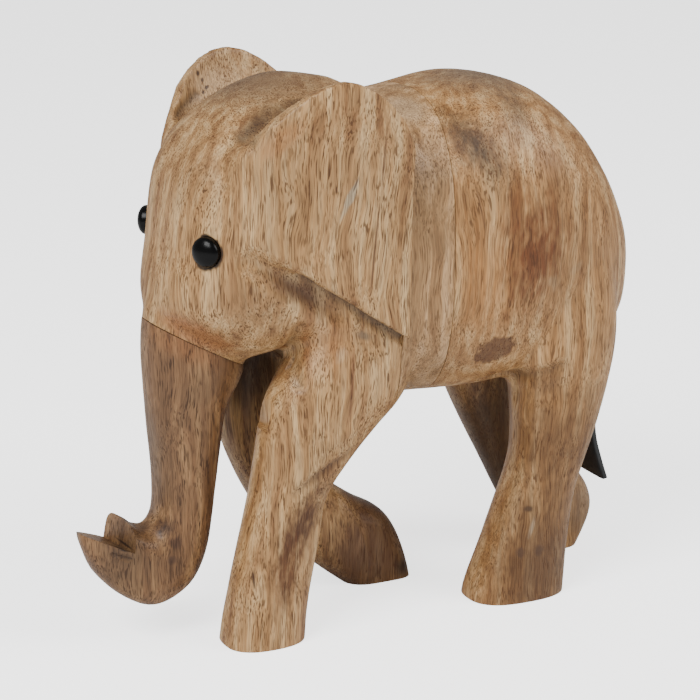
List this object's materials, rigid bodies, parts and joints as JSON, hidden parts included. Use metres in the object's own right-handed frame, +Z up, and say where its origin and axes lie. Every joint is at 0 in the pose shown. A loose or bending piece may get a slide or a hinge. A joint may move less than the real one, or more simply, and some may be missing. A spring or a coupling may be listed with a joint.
{
  "type": "elephant figurine",
  "caption": "Carved wooden elephant walking with its trunk curled forward, glued up from blocks with a visible joint in the body and trunk, glossy eyes and a leather tail",
  "frame": {"origin": "on the ground under the middle of the elephant's bounding box", "axes": "+Z up, -Y the way the elephant faces, +X its left side"},
  "size_m": [0.0742, 0.1597, 0.1461],
  "materials": {
    "golden_mango_wood": "satin",
    "grey_mango_wood": "satin",
    "dark_mango_wood": "satin",
    "beech_dowel": "bare",
    "black_gloss": "gloss",
    "black_leather": "matt"
  },
  "bodies": {
    "root": {"front_block": "golden_mango_wood", "middle_board": "grey_mango_wood", "rear_block": "golden_mango_wood", "trunk_block": "dark_mango_wood", "trunk_dowel": "beech_dowel", "left_eye": "black_gloss", "right_eye": "black_gloss", "tail_root": "black_leather"},
    "tail": {"tail_strap": "black_leather"}
  },
  "joints": [
    {"name": "tail_swing", "type": "hinge", "parent": "root", "child": "tail", "pos_m": [0, 0.07195, 0.0666], "axis": [1, 0, 0], "range_deg": [0, 60], "stiffness_Nm_per_rad": 0.01}
  ]
}
